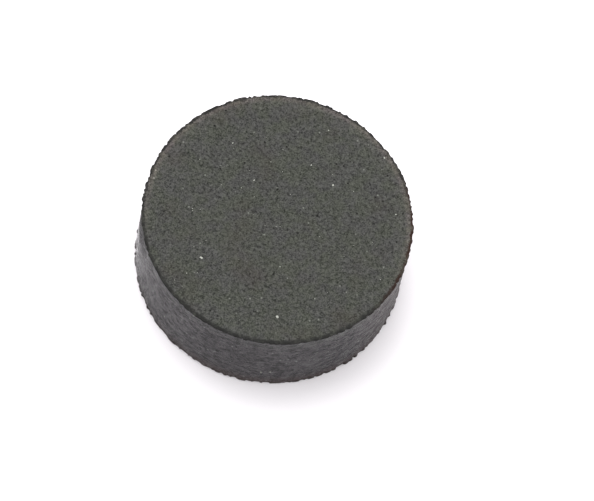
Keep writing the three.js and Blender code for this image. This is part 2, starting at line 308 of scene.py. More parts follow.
def solid_from(curve, name, height=0.0):
    """The solid that a bevelled curve makes, lifted to a height."""
    shape = placed(name, curve)
    mesh = final_mesh(shape)
    mesh.transform(Matrix.Translation((0, 0, height)))
    bpy.data.objects.remove(shape)
    return cleaned(placed(name, mesh))


def plate(name, outlines, bottom, top, edge, steps=2):
    """A flat plate between two levels, from its outline and holes, with its edges rounded."""
    curve = bpy.data.curves.new(name, "CURVE")
    curve.dimensions = "2D"
    curve.fill_mode = "BOTH"
    curve.extrude = (top - bottom) / 2 - edge
    curve.bevel_depth = edge
    curve.bevel_resolution = steps
    curve.offset = -edge
    for outline in outlines:
        apart = [p for i, p in enumerate(outline) if math.dist(p, outline[i - 1]) > 0.002]
        curve_points(curve, "POLY", [(x, y, 0, 1) for x, y in apart]).use_cyclic_u = True
    return solid_from(curve, name, (bottom + top) / 2)


def tube(name, points, radius):
    """A round wire through points, with closed ends."""
    curve = bpy.data.curves.new(name, "CURVE")
    curve.dimensions = "3D"
    curve.bevel_depth = radius
    curve.bevel_resolution = 2
    curve.use_fill_caps = True
    spline = curve_points(curve, "NURBS", [(*point, 1) for point in points])
    spline.use_endpoint_u = True
    spline.order_u = 4
    spline.resolution_u = 6
    return solid_from(curve, name)


def neighbours(line, i):
    return line[max(i - 1, 0)], line[min(i + 1, len(line) - 1)]


def ribbon(line, width, steps=6):
    """The outline of a flat track with round ends along a line."""
    line = [Vector(point) for point in line]
    left, right = [], []
    for i, point in enumerate(line):
        before, after = neighbours(line, i)
        along = (after - before).normalized()
        across = Vector((-along.y, along.x)) * width / 2
        left.append(tuple(point + across))
        right.append(tuple(point - across))
    first = math.degrees(math.atan2(*(line[1] - line[0]).yx))
    last = math.degrees(math.atan2(*(line[-1] - line[-2]).yx))
    start_cap = arc(line[0], width / 2, first + 270, first + 90, steps)[1:-1]
    end_cap = arc(line[-1], width / 2, last + 90, last - 90, steps)[1:-1]
    return left + end_cap + right[::-1] + start_cap


def strip(name, line, x, width, thickness, edge):
    """A strip bent along a (y, z) line, centred on x, with its long edges rounded."""
    section = box_corners(-width / 2, -thickness / 2, width / 2, thickness / 2, edge, 3)
    points, faces, rows = [], [], []
    for i, (y, z) in enumerate(line):
        before, after = neighbours(line, i)
        along = Vector((after[0] - before[0], after[1] - before[1])).normalized()
        rows.append(list(range(len(points), len(points) + len(section))))
        points += [(x + a, y - along.y * b, z + along.x * b) for a, b in section]
    for row, following in zip(rows, rows[1:]):
        faces += band(row, following)
    faces += [tuple(rows[0]), tuple(rows[-1])]
    return cleaned(mesh_object(name, points, faces))


def bezier(start, first, second, end, steps):
    """Points of a cubic curve in a plane, both ends included."""
    t = np.linspace(0, 1, steps + 1)
    weights = np.array(((1 - t) ** 3, 3 * t * (1 - t) ** 2, 3 * t * t * (1 - t), t ** 3))
    return [tuple(point) for point in weights.T @ np.array((start, first, second, end))]


def bend_between(start, end, steps):
    """A gentle S between two points, leaving and arriving along Y."""
    third = (end[1] - start[1]) / 3
    first, second = (start[0], start[1] + third), (end[0], end[1] - third)
    return bezier(start, first, second, end, steps + 1)[1:-1]


def merged(name, parts):
    """Several solids kept side by side in one object."""
    work = bmesh.new()
    for part in parts:
        work.from_mesh(part.data)
        bpy.data.objects.remove(part)
    mesh = bpy.data.meshes.new(name)
    work.to_mesh(mesh)
    work.free()
    return placed(name, mesh)


def perlin(x, y, z):
    return noise.noise(Vector((x, y, z)))


# ---------------- nodes

class Value:
    """What a node gives out. Sums and products of it add more nodes."""

    def __init__(self, nodes, socket):
        self.nodes, self.socket = nodes, socket

    def __add__(self, other):
        return self.nodes.math("ADD", self, other)

    def __sub__(self, other):
        return self.nodes.math("SUBTRACT", self, other)

    def __rsub__(self, other):
        return self.nodes.math("SUBTRACT", other, self)

    def __mul__(self, other):
        return self.nodes.math("MULTIPLY", self, other)


class Nodes:
    """Short names for the nodes of a material or of the world."""

    def __init__(self, tree):
        self.tree = tree

    def feed(self, node, sockets):
        for key, value in sockets.items():
            socket = node.inputs[key]
            if isinstance(value, Value):
                self.tree.links.new(value.socket, socket)
            else:
                socket.default_value = (*value, 1) if socket.type == "RGBA" else value

    def add(self, kind, output, sockets=None, **settings):
        """One output of a new node, whose sockets are fed by name or by number."""
        node = self.tree.nodes.new("ShaderNode" + kind)
        for key, value in settings.items():
            setattr(node, key, value)
        self.feed(node, sockets or {})
        return Value(self, node.outputs[output])

    def math(self, operation, *values):
        return self.add("Math", "Value", dict(enumerate(values)), operation=operation)

    def stretched(self, place, stretch):
        return self.add("VectorMath", "Vector", {0: place, 1: stretch}, operation="MULTIPLY")

    def fade(self, value, low, high, to_low=0.0, to_high=1.0):
        """Goes smoothly from to_low, where value is low, to to_high, where it is high."""
        sockets = {"Value": value, "From Min": low, "From Max": high}
        sockets.update({"To Min": to_low, "To Max": to_high})
        return self.add("MapRange", "Result", sockets, interpolation_type="SMOOTHSTEP")

    def mix(self, share, first, second, blend="MIX"):
        """Goes from the first colour to the second. Only sockets 6, 7 and 2 hold colours."""
        sockets = {0: share, 6: first, 7: second}
        return self.add("Mix", 2, sockets, data_type="RGBA", blend_type=blend)

    def tones(self, value, first, second, low=0.3, high=0.7, most=1.0):
        """The first colour where value is low, and most of the second where it is high."""
        return self.mix(self.fade(value, low, high, 0.0, most), first, second)


class Surface(Nodes):
    """A material, whose nodes see places in millimetres."""

    def __init__(self, name, metallic=0.0, specular=0.5):
        self.material = bpy.data.materials.new(name)
        self.material.use_nodes = True
        super().__init__(self.material.node_tree)
        self.set(Metallic=metallic, Specular_IOR_Level=specular)
        self.place = self.stretched(self.add("TexCoord", "Object"), (1 / MM,) * 3)

    def set(self, **sockets):
        shader = self.tree.nodes["Principled BSDF"]
        self.feed(shader, {key.replace("_", " "): value for key, value in sockets.items()})

    def finish(self, colour, marks, smooth, rough, *reliefs):
        """Marks vary the gloss. Reliefs lie over each other: (height, depth, strength)."""
        relief = None
        for height, depth, strength in reliefs:
            relief = self.bump(height, depth, strength, relief)
        gloss = self.fade(marks, 0.3, 0.7, smooth, rough)
        self.set(Base_Color=colour, Roughness=gloss, Normal=relief)
        return self.material

    def along(self, axis):
        return self.add("SeparateXYZ", axis, {"Vector": self.place})

    def radius(self):
        """Distance from the Z axis."""
        flat = self.stretched(self.place, (1, 1, 0))
        return self.add("VectorMath", "Value", {0: flat}, operation="LENGTH")

    def noise(self, scale, detail=2.0, roughness=0.5, stretch=None, place=None):
        place = place or self.place
        if stretch:
            place = self.stretched(place, stretch)
        sockets = {"Vector": place, "Scale": scale, "Detail": detail, "Roughness": roughness}
        return self.add("TexNoise", "Fac", sockets)

    def rings(self, scale, detail=4.0):
        """Noise that runs round the Z axis, as turning and drawing marks do."""
        place = self.add("CombineXYZ", "Vector", {"X": self.radius(), "Y": self.along("Z")})
        return self.noise(scale, detail, 0.7, place=place)

    def cells(self, scale):
        """Distance from the nearest of many scattered points."""
        return self.add("TexVoronoi", "Distance", {"Vector": self.place, "Scale": scale})

    def scattered(self, scale, core, rim, share):
        """Soft round spots about 1 / scale apart, of which only a share is there."""
        spots = self.cells(scale)
        own_colour = Value(self, spots.socket.node.outputs["Color"])
        chance = self.add("SeparateColor", "Red", {"Color": own_colour})
        return self.fade(spots, core, rim, 1, 0) * self.fade(chance, share, 0.8 * share)

    def bump(self, height, depth, strength=1.0, under=None):
        sockets = {"Height": height, "Distance": depth * MM, "Strength": strength}
        if under:
            sockets["Normal"] = under
        return self.add("Bump", "Normal", sockets)


# ---------------- materials

def rubber_top(m):
    """Fine grains, lighter and darker, that drift between green, blue and brown greys."""
    grain = m.noise(17, 2, 0.7) * 0.55 + m.noise(7, 3, 0.75) * 0.45
    hue = m.noise(1.1, 4, 0.7)
    dark = m.tones(hue, (0.006, 0.0075, 0.005), (0.007, 0.007, 0.007), 0.38, 0.62)
    light = m.tones(hue, (0.083, 0.086, 0.073), (0.083, 0.083, 0.079), 0.36, 0.64)
    tone = m.tones(grain, dark, light, 0.28, 0.72)
    tone = m.tones(m.noise(0.45), tone, (0.04, 0.031, 0.027), 0.5, 0.75, 0.25)
    tone = m.mix(m.scattered(2.3, 0.05, 0.13, 0.3), tone, (0.125, 0.13, 0.115))
    return m.mix(m.scattered(3.1, 0.08, 0.2, 0.14), tone, (0.009, 0.009, 0.008))


def rubber_side(m, streaks, below_rim, to_right):
    """Bluish mottling, streaks that run round the disc, a paler band below the rim, and painted
    warm light on the right.
    """
    mottle = m.noise(10, 3, 0.8, stretch=(1, 1, 0.75))
    cloud = m.noise(1.3, 4, 0.7, stretch=(1, 1, 1.5))
    shade = (0.018, 0.017, 0.018)
    tone = m.tones(mottle, (0.014, 0.0125, 0.0135), (0.074, 0.068, 0.073), 0.38, 0.66)
    tone = m.tones(streaks, tone, shade, 0.52, 0.38, 0.45)
    tone = m.tones(streaks, tone, (0.085, 0.084, 0.083), 0.56, 0.7, 0.5)
    tone = m.tones(cloud, tone, shade, 0.52, 0.36, 0.5)
    tone = m.tones(cloud, tone, (0.094, 0.09, 0.094), 0.55, 0.68, 0.4)
    tone = m.mix(m.scattered(3.0, 0.16, 0.28, 0.45), tone, (0.009, 0.008, 0.009))
    tone = m.mix(m.scattered(2.9, 0.08, 0.18, 0.3), tone, (0.2, 0.205, 0.2))
    # a paler band below the rim, strongest on the right
    pale_band = m.fade(below_rim, 0.12, 0.25) * m.fade(below_rim, 0.5, 0.9, 1, 0)
    pale_band = pale_band * m.fade(to_right, -2.0, 4.0, 0.1, 0.4)
    tone = m.mix(pale_band, tone, (0.08, 0.084, 0.077))
    # painted warm light on the right side
    return m.mix(m.fade(to_right, 4.0, 5.8), tone, (1.12, 0.98, 0.92), "MULTIPLY")


def rubber():
    """Matte grey-green on top, smoother and bluer round the side, with a dark ragged rim of
    painted shade.
    """
    m = Surface("moulded_rubber", specular=0.1)
    m.set(Sheen_Weight=0.15, Sheen_Roughness=0.1)
    to_right, to_back, z = m.along("X"), m.along("Y"), m.along("Z")
    wander = (m.noise(5, 5, 0.75) - 0.5) * 0.3
    below_rim = JACKET_HEIGHT - z + wander
    above_foot = z + wander
    from_rim = JACKET_RADIUS - m.radius()
    streaks = m.noise(2.6, 5, 0.8, stretch=(1, 1, 1.5))
    is_side = m.fade(below_rim, 0.06, 0.1)
    tone = m.mix(is_side, rubber_top(m), rubber_side(m, streaks, below_rim, to_right))

    # painted highlight: paler and warmer on top towards the rim, as if lit from behind, least so
    # in front
    behind = (1.0 - is_side) * m.fade(to_back, -3, 1)
    wide, narrow = m.fade(from_rim, 0.3, 0.9, 1, 0), m.fade(from_rim, 0.15, 0.35, 1, 0)
    tone = m.mix(behind * wide, tone, (1.12, 1.1, 1.1), "MULTIPLY")
    tone = m.mix(behind * narrow, tone, (1.4, 1.28, 1.3), "MULTIPLY")

    # painted shade: the dark, broken line where top and side meet, widest in front, tinted with
    # painted warm light at its right end
    width = m.fade(to_back, -5.0, -1.0, 0.2, 0.12)
    line = m.fade(from_rim + wander, 0.05, width, 1, 0) * m.fade(below_rim, 0.0, 0.17, 1, 0)
    broken = m.fade(m.noise(2.2, 4, 0.75), 0.4, 0.56, 0.55, 1.0)
    rim_tone = m.tones(to_right, (0.017, 0.017, 0.016), (0.025, 0.014, 0.011), 4.5, 5.8)
    tone = m.mix(line * broken, tone, rim_tone)

    # painted contact shadow along the foot, brown, darkest at its edge
    painted_foot_shade = m.fade(above_foot, 0.15, 0.85, 1, 0) * m.fade(to_right, -5.0, -1.0, 0.2, 0.6)
    tone = m.mix(painted_foot_shade, tone, (0.06, 0.043, 0.041))
    painted_contact_shadow = m.fade(above_foot, 0.1, 0.28, m.fade(to_back, -5.5, -4.6, 0.5, 0.9), 0.0)
    tone = m.mix(painted_contact_shadow, tone, (0.014, 0.007, 0.005))

    # the side is glossier than the top, glossiest low down on the left
    polish = is_side * (1.0 - m.math("MAXIMUM", line, painted_contact_shadow))
    polish = polish * m.fade(streaks, 0.38, 0.6, 0.45, 1.0)
    far_left = m.fade(to_right, -5.75, -5.0, 1, 0)
    dull = far_left * m.fade(z, 2.4, 3.4, 0.0, 0.7)
    glazed = far_left * m.fade(z, 1.6, 2.8, 1, 0) * m.fade(streaks, 0.42, 0.5)
    m.set(Base_Color=tone, Roughness=m.fade(polish - dull, 0, 1, 0.85, 0.31) - glazed * 0.3)

    skin = m.bump(m.noise(14, 3, 0.7), 0.015, 0.8)
    drawn = m.noise(5, 4, 0.75, stretch=(1, 1, 3)) * is_side
    m.set(Normal=m.bump(drawn, 0.06, m.fade(glazed, 0, 1, 1.0, 0.2), under=skin))
    return m.material


def filler():
    """Pale mineral grains that show in the rubber."""
    m = Surface("pale_mineral")
    m.set(Base_Color=m.mix(m.noise(20, 3), (0.2, 0.2, 0.17), (0.46, 0.47, 0.43)))
    m.set(Roughness=0.6, Normal=m.bump(m.noise(30, 3), 0.01))
    return m.material


def can_steel():
    """Nickel-plated deep-drawn steel: draw lines up the wall, scratches, a weld's tint."""
    m = Surface("nickel_plated_can", metallic=1)
    drawn = m.noise(7, 4, 0.6, stretch=(4, 4, 0.07))
    tone = m.tones(drawn, (0.39, 0.382, 0.365), (0.47, 0.46, 0.44), 0.25, 0.75)
    tone = m.tones(m.noise(0.7, 5, 0.6), tone, (0.3, 0.285, 0.26), 0.45, 0.7, 0.35)
    scratch = m.fade(m.noise(5, 3, 0.6, stretch=(0.2, 4, 1)), 0.64, 0.7)
    crossing = m.fade(m.noise(5, 3, 0.6, stretch=(3.5, 0.25, 0.6)), 0.66, 0.71)
    worn_marks = m.math("MAXIMUM", scratch, crossing)
    tone = m.mix(worn_marks * 0.6, tone, (0.62, 0.61, 0.6))
    # heat tint of the weld at the shaft's end: straw, then blue
    on_top = m.fade(m.along("Z"), CAN_TOP - 0.1, CAN_TOP - 0.05)
    ragged = m.radius() + m.noise(4, 3) * 0.12
    tone = m.mix(on_top * m.fade(ragged, 0.55, 0.95, 0.8, 0.0), tone, (0.36, 0.24, 0.1))
    tone = m.mix(on_top * m.fade(ragged, 0.48, 0.7, 0.85, 0.0), tone, (0.09, 0.1, 0.17))
    reliefs = (drawn, 0.004, 0.4), (worn_marks, 0.004, 0.4)
    return m.finish(tone, m.noise(2.2, 5, 0.7), 0.22, 0.34, *reliefs)


def plate_steel():
    """Nickel-plated sheet with its rolling grain along X, and a few stains."""
    m = Surface("rolled_plate", metallic=1)
    grain = m.noise(7, 5, 0.65, stretch=(0.12, 3, 1))
    tone = m.tones(grain, (0.25, 0.245, 0.235), (0.45, 0.44, 0.42))
    tone = m.tones(m.noise(1.1, 4, 0.65), tone, (0.24, 0.2, 0.15), 0.55, 0.75, 0.4)
    return m.finish(tone, grain, 0.28, 0.46, (grain, 0.01, 0.4))


def shaft_steel():
    """Ground and polished pin, with fine rings along its length."""
    m = Surface("ground_pin", metallic=1)
    marks = m.rings(40)
    tone = m.tones(marks, (0.36, 0.36, 0.375), (0.52, 0.52, 0.53))
    return m.finish(tone, marks, 0.1, 0.24, (marks, 0.003, 0.5))


def magnet():
    """Barrel-plated nickel over a sintered magnet: orange peel and small pits."""
    m = Surface("plated_magnet", metallic=1)
    peel = m.noise(6, 3, 0.6)
    pits = m.scattered(3.5, 0.05, 0.12, 0.35)
    tone = m.tones(m.noise(2.5, 5, 0.6), (0.34, 0.325, 0.3), (0.43, 0.415, 0.39))
    tone = m.mix(pits, tone, (0.08, 0.075, 0.07))
    return m.finish(tone, peel, 0.18, 0.34, (peel, 0.02, 0.5), (pits, -0.02, 0.6))


def polyimide():
    """Amber film with a faint cloudiness and the machine direction of the web."""
    m = Surface("amber_film")
    m.set(Coat_Weight=0.4, Coat_Roughness=0.15)
    cloud = m.noise(1.5, 4, 0.6)
    web = m.noise(9, 4, 0.6, stretch=(3, 0.15, 1))
    tone = m.tones(cloud, (0.44, 0.17, 0.02), (0.54, 0.23, 0.035))
    tone = m.tones(web, tone, (0.7, 0.36, 0.09), 0.5, 0.75, 0.35)
    return m.finish(tone, cloud, 0.28, 0.42, (web, 0.006, 0.5))


def gold_plate():
    """Gold over nickel, with fine scratches and a duller patch here and there."""
    m = Surface("gold_over_nickel", metallic=1)
    grain = m.noise(14, 4, 0.65)
    scratch = m.fade(m.noise(9, 3, 0.6, stretch=(0.2, 3.5, 1)), 0.6, 0.7)
    tone = m.tones(m.noise(2, 4), (0.75, 0.5, 0.17), (0.92, 0.68, 0.32), 0.35, 0.7)
    tone = m.mix(scratch * 0.6, tone, (0.6, 0.42, 0.2))
    return m.finish(tone, grain, 0.2, 0.38, (grain, 0.006, 0.5), (scratch, -0.004, 0.5))


def spring_bronze():
    """Rolled phosphor bronze, a little tarnished, with its grain along the leaf."""
    m = Surface("phosphor_bronze", metallic=1)
    grain = m.noise(8, 5, 0.65, stretch=(4, 0.2, 1))
    tone = m.tones(grain, (0.5, 0.29, 0.14), (0.7, 0.45, 0.26))
    tone = m.tones(m.noise(2.5, 4, 0.65), tone, (0.32, 0.15, 0.09), 0.45, 0.7, 0.6)
    return m.finish(tone, grain, 0.24, 0.42, (grain, 0.006, 0.5))


def solder():
    """Bright tin with a frosted, crystalline skin and a trace of flux."""
    m = Surface("tin_solder", metallic=1)
    frost = m.noise(20, 4, 0.7)
    tone = m.tones(frost, (0.6, 0.61, 0.63), (0.82, 0.82, 0.83), 0.35, 0.7)
    tone = m.tones(m.noise(3, 3), tone, (0.42, 0.3, 0.16), 0.55, 0.7, 0.5)
    return m.finish(tone, frost, 0.18, 0.45, (frost, 0.01, 0.5), (m.cells(16), 0.01, 0.5))


def washer_nylon():
    """Milky nylon with grey, burnished rings where the bearing rubs."""
    m = Surface("milky_nylon")
    m.set(Subsurface_Weight=0.2, Subsurface_Radius=(0.3 * MM, 0.25 * MM, 0.2 * MM))
    marks = m.rings(25)
    tone = m.tones(m.noise(5, 4), (0.66, 0.62, 0.5), (0.82, 0.79, 0.7))
    tone = m.tones(m.rings(8, 2), tone, (0.4, 0.37, 0.31), 0.45, 0.6, 0.5)
    return m.finish(tone, marks, 0.35, 0.55, (marks, 0.004, 0.5))


def sintered_bronze():
    """Pressed bronze powder, its pores dark with oil."""
    m = Surface("oil_filled_bronze", metallic=1)
    pores = m.fade(m.cells(14), 0.12, 0.3, 1.0, 0.0)
    powder = m.noise(22, 4, 0.7)
    oil = m.noise(2.4, 3)
    tone = m.tones(powder, (0.34, 0.2, 0.09), (0.58, 0.4, 0.22))
    tone = m.tones(oil, tone, (0.2, 0.11, 0.05), 0.4, 0.65, 0.5)
    m.set(Base_Color=m.mix(pores * 0.85, tone, (0.05, 0.03, 0.015)))
    m.set(Roughness=m.fade(oil, 0.4, 0.65, 0.55, 0.3))
    m.set(Normal=m.bump(pores, -0.02, 0.7, under=m.bump(powder, 0.012, 0.6)))
    return m.material


def rotor_resin():
    """Black liquid-crystal resin: flow lines, short glass fibres, a spark-eroded mould's skin."""
    m = Surface("black_resin")
    flow = m.noise(1.4, 5, 0.65, stretch=(1, 2.5, 1))
    fibres = m.fade(m.noise(12, 3, 0.6, stretch=(0.25, 2.5, 1)), 0.6, 0.72)
    tone = m.tones(flow, (0.015, 0.016, 0.018), (0.024, 0.025, 0.028), 0.35, 0.65)
    tone = m.mix(fibres * 0.5, tone, (0.085, 0.085, 0.08))
    reliefs = (m.noise(24, 3, 0.7), 0.01, 0.6), (fibres, 0.004, 0.5)
    return m.finish(tone, flow, 0.45, 0.55, *reliefs)


def laminate():
    """Green solder mask over woven glass, whose weave shows through."""
    m = Surface("masked_laminate")
    m.set(Coat_Weight=0.5, Coat_Roughness=0.2)
    weave = m.math("SINE", m.along("X") * 32.0) * m.math("SINE", m.along("Y") * 32.0)
    cloud = m.noise(2, 4, 0.6)
    tone = m.tones(weave, (0.012, 0.13, 0.04), (0.03, 0.2, 0.07), -1, 1)
    tone = m.tones(cloud, tone, (0.01, 0.09, 0.035), 0.4, 0.7, 0.5)
    return m.finish(tone, cloud, 0.3, 0.45, (weave, 0.006, 0.5))


def copper_wire():
    """Enamelled copper, each turn a little different in tone."""
    m = Surface("enamelled_copper", metallic=1)
    m.set(Coat_Weight=0.6, Coat_Roughness=0.12)
    turns = m.noise(9, 3, 0.6, stretch=(0.8, 0.8, 1.6))
    tone = m.tones(turns, (0.52, 0.17, 0.05), (0.72, 0.3, 0.11))
    tone = m.tones(m.noise(1.2, 3), tone, (0.3, 0.08, 0.03), 0.5, 0.75, 0.4)
    return m.finish(tone, turns, 0.24, 0.4, (turns, 0.004, 0.4))


def tungsten():
    """Sintered heavy alloy: matte grey grains, brighter where it was tumbled."""
    m = Surface("sintered_tungsten", metallic=1)
    grains = m.cells(12)
    powder = m.noise(18, 4, 0.7)
    tone = m.tones(grains, (0.4, 0.4, 0.405), (0.22, 0.22, 0.225), 0.1, 0.5)
    tone = m.tones(powder, tone, (0.46, 0.455, 0.45), 0.35, 0.7, 0.6)
    tone = m.tones(m.noise(1.3, 4), tone, (0.19, 0.18, 0.17), 0.5, 0.7, 0.5)
    return m.finish(tone, powder, 0.4, 0.6, (powder, 0.008, 0.6), (grains, -0.012, 0.6))


# ---------------- the jacket

def disc_point(i, j, across):
    """A square grid bent into a disc of radius 1, with evenly spaced points round its edge."""
    u, v = 2 * i / across - 1, 2 * j / across - 1
    if u == 0 and v == 0:
        return 0.0, 0.0
    if abs(u) > abs(v):
        angle = math.pi / 4 * v / u
        return u * math.cos(angle), u * math.sin(angle)
    angle = math.pi / 4 * u / v
    return v * math.sin(angle), v * math.cos(angle)


def jacket_profile():
    """[radius, z] from the edge of the top face, down the side, and up the bore to its ceiling."""
    edge, foot, mouth, ceiling_corner = 0.06, 0.09, 0.15, 0.45
    bore, ceiling = CAN_RADIUS + FIT_GAP, CAN_TOP
    side_low, side_high = (JACKET_RADIUS, foot), (JACKET_RADIUS, JACKET_HEIGHT - edge)
    foot_in = (bore + mouth, 0)
    return [
        *arc((JACKET_RADIUS - edge, JACKET_HEIGHT - edge), edge, 90, 0, 4),
        *straight(side_high, side_low, 44),
        *arc((JACKET_RADIUS - foot, foot), foot, 0, -90, 5)[1:],
        *straight((JACKET_RADIUS - foot, 0), foot_in, 3),
        *straight(foot_in, (bore, mouth), 2),
        *straight((bore, mouth), (bore, ceiling - ceiling_corner), 8),
        *arc((bore - ceiling_corner, ceiling - ceiling_corner), ceiling_corner, 0, 90, 5)[1:],
        *straight((bore - ceiling_corner, ceiling), (0.8, ceiling), 4),
    ]


def jacket_relief(x, y, z, outward):
    """How far the moulded surface stands off its true shape. The foot's underside is flat."""
    if z < 0.02:
        return 0.0
    grain = 0.006 * perlin(7 * x, 7 * y, 7 * z)
    swell = 0.012 * perlin(0.7 * x, 0.7 * y, 0.7 * z)
    striation = 0.008 * perlin(1.5 * x, 1.5 * y, 8 * z) * (1 - outward[2])
    return grain + swell + striation


def rim_wear(angle, z):
    """How far the rim and the foot are worn back at an angle. A burr stands out, below zero."""
    x, y = JACKET_RADIUS * math.cos(angle), JACKET_RADIUS * math.sin(angle)
    here = 0.85 + 0.9 * perlin(0.9 * x, 0.9 * y, 4.1)
    teeth = 0.03 * here * math.tanh(8 * perlin(6.7 * x, 6.7 * y, 7.7))
    waves = 0.02 * perlin(1.9 * x, 1.9 * y, 1.7)
    chips = max(0.0, perlin(1.3 * x, 1.3 * y, 3.3) - 0.4)
    below = JACKET_HEIGHT - z
    at_rim = (teeth + waves + 0.2 * chips - 0.04) * math.exp(-((below / 0.14) ** 2))
    foot_teeth = 0.035 * here * math.tanh(8 * perlin(6.7 * x, 6.7 * y, 21.3))
    return at_rim + (foot_teeth - 0.025) * math.exp(-((z / 0.3) ** 2))


def worn(x, y, z):
    """Where moulding and wear leave a point of the jacket. Inside the cup nothing moves."""
    radius, angle = math.hypot(x, y), math.atan2(y, x)
    on_top = z > JACKET_HEIGHT - 1e-6
    if not on_top and radius <= JACKET_RADIUS - 0.2:
        return x, y, z
    outward = Vector((0, 0, 1)) if on_top else Vector((math.cos(angle), math.sin(angle), 0))
    back = rim_wear(angle, z) * math.exp(-((JACKET_RADIUS - radius) / 0.3) ** 2)
    shrink = (radius - back) / radius if radius else 1
    place = Vector((x * shrink, y * shrink, z - 0.3 * back))
    return tuple(place + outward * jacket_relief(x, y, z, outward))


def rubber_jacket():
    across = 176
    profile = jacket_profile()
    top_radius = profile[0][0]
    steps = range(across + 1)
    grid = {(i, j): len(steps) * i + j for i in steps for j in steps}
    disc = [disc_point(i, j, across) for i, j in grid]
    points = [(top_radius * x, top_radius * y, JACKET_HEIGHT) for x, y in disc]
    faces = []
    for i in range(across):
        for j in range(across):
            faces.append((grid[i, j], grid[i + 1, j], grid[i + 1, j + 1], grid[i, j + 1]))

    # the disc's edge, anticlockwise from its lower left corner
    ring = [grid[i, 0] for i in range(across)]
    ring += [grid[across, j] for j in range(across)]
    ring += [grid[across - i, across] for i in range(across)]
    ring += [grid[0, across - j] for j in range(across)]
    angles = [math.atan2(points[k][1], points[k][0]) for k in ring]

    for radius, z in profile[1:]:
        lower = list(range(len(points), len(points) + len(ring)))
        points += [(radius * math.cos(a), radius * math.sin(a), z) for a in angles]
        faces += band(lower, ring)
        ring = lower
    faces += band([len(points)] * len(ring), ring)
    points.append((0, 0, profile[-1][1]))

    jacket = mesh_object("moulded_jacket", [worn(*point) for point in points], faces)
    finished(jacket, "jacket", "rubber", "rubber_jacket", sharp_degrees=60)


def pale_grains():
    """Irregular grains of filler, sunk to about half in the rubber's skin."""
    chance = np.random.default_rng(7)
    places = [(Vector((x, y, JACKET_HEIGHT)), size) for x, y, size in TOP_GRAINS]
    for degrees, z, size in SIDE_GRAINS:
        places.append((Vector((*polar(JACKET_RADIUS, degrees), z)), size))
    for _ in range(SMALL_GRAINS):
        radius, degrees = 5.6 * math.sqrt(chance.random()), 360 * chance.random()
        place = Vector((*polar(radius, degrees), JACKET_HEIGHT))
        places.append((place, 0.02 + 0.025 * chance.random()))
    work = bmesh.new()
    for place, size in places:
        spin = Matrix.Rotation(2 * math.pi * chance.random(), 4, "Z")
        shape = Matrix.Diagonal((size * (0.7 + 0.5 * chance.random()), size * 0.8, size * 0.55, 1))
        grain = bmesh.ops.create_icosphere(work, subdivisions=2, radius=0.5)["verts"]
        for vertex in grain:
            swell = 1 + 0.45 * noise.noise(vertex.co * 2.1 + place * 3)
            vertex.co = place + spin @ shape @ (vertex.co * swell)
    mesh = bpy.data.meshes.new("pale_grains")
    work.to_mesh(mesh)
    work.free()
    finished(placed("pale_grains", mesh), "jacket", "rubber", sharp_degrees=50, look="filler")


# ---------------- the casing and stator

def can_shell():
    """A drawn cup with a coined ring round the shaft's end and four tabs crimped inwards."""
    bore, bend, corner = CAN_RADIUS - SHEET, 0.3, 0.5
    hole = SHAFT_RADIUS + PRESS_GAP
    ring_in, ring_out, ring_depth = 0.95, 1.15, 0.03
    tab_half, slit = math.degrees(TAB_HALF_WIDTH / CAN_RADIUS), 0.6
    above_slits = PLATE_BOTTOM + 0.36
    inside = [(hole, CAN_TOP - SHEET, 0.02), (bore, CAN_TOP - SHEET, bend)]
    inside += [(bore, above_slits), (bore, above_slits - 0.03), (bore, CAN_BOTTOM, 0.03)]
    wall = [(CAN_RADIUS, CAN_BOTTOM, 0.06), (CAN_RADIUS, above_slits - 0.03)]
    wall += [(CAN_RADIUS, above_slits), (CAN_RADIUS, CAN_TOP, corner)]
    coined = CAN_TOP - ring_depth
    top = [(ring_out, CAN_TOP, 0.03), (ring_out - 0.04, coined, 0.02)]
    top += [(ring_in + 0.04, coined, 0.02), (ring_in, CAN_TOP, 0.03), (hole, CAN_TOP, 0.03)]
    can = turned("can_shell", inside + wall + top, segments=192, steps=8)
    for middle in (45, 135, 225, 315):
        for side in (-1, 1):
            gap = sector(bore - 0.1, CAN_RADIUS + 0.1, middle + side * (tab_half + slit), slit, 4)
            cut(can, gap, -0.2, PLATE_BOTTOM + 0.28, 0.02)
        outline = sector(TAB_INNER, CAN_RADIUS - SHEET / 2, middle, tab_half, 12, corner=0.15)
        joined(can, plate("tab", [outline], CAN_BOTTOM, PLATE_BOTTOM, 0.04))
    finished(can, "motor", "can_steel", "steel_can")


def base_disc():
    """A pressed plate with a burred collar for the shaft and a notch for the flex circuit."""
    radius = outer_radius("base_plate")
    upper_face = PLATE_BOTTOM + SHEET
    hole = SHAFT_RADIUS + PRESS_GAP
    section = [(hole, PLATE_BOTTOM, 0.05), (radius, PLATE_BOTTOM, 0.06)]
    section += [(radius, upper_face, 0.03), (COLLAR_RADIUS, upper_face, 0.05)]
    section += [(COLLAR_RADIUS, COLLAR_TOP, 0.05), (hole, COLLAR_TOP, 0.02)]
    disc = turned("base_disc", section, segments=160)
    notch = box_corners(-NOTCH_HALF_WIDTH, -CAN_RADIUS, NOTCH_HALF_WIDTH, NOTCH_Y, 0.12)
    cut(disc, notch, PLATE_BOTTOM - 0.1, upper_face + 0.1, 0.01)
    dimple_x, dimple_y, dimple_radius, dimple_depth = 3.4, 1.9, 0.3, 0.07
    for x in (-dimple_x, dimple_x):
        dimple = circle(x, dimple_y, dimple_radius, 40)
        cut(disc, dimple, PLATE_BOTTOM - 0.1, PLATE_BOTTOM + dimple_depth, 0.01)
    finished(disc, "motor", "plate_steel", "base_plate")


def shaft_pin():
    low, top = levels("shaft")
    ends = [(0, low), (SHAFT_RADIUS - 0.05, low), (SHAFT_RADIUS, low + 0.05, 0.04)]
    ends += [(SHAFT_RADIUS, top - 0.05, 0.04), (SHAFT_RADIUS - 0.05, top), (0, top)]
    finished(turned("shaft_pin", ends, segments=64), "motor", "shaft_steel", "shaft")


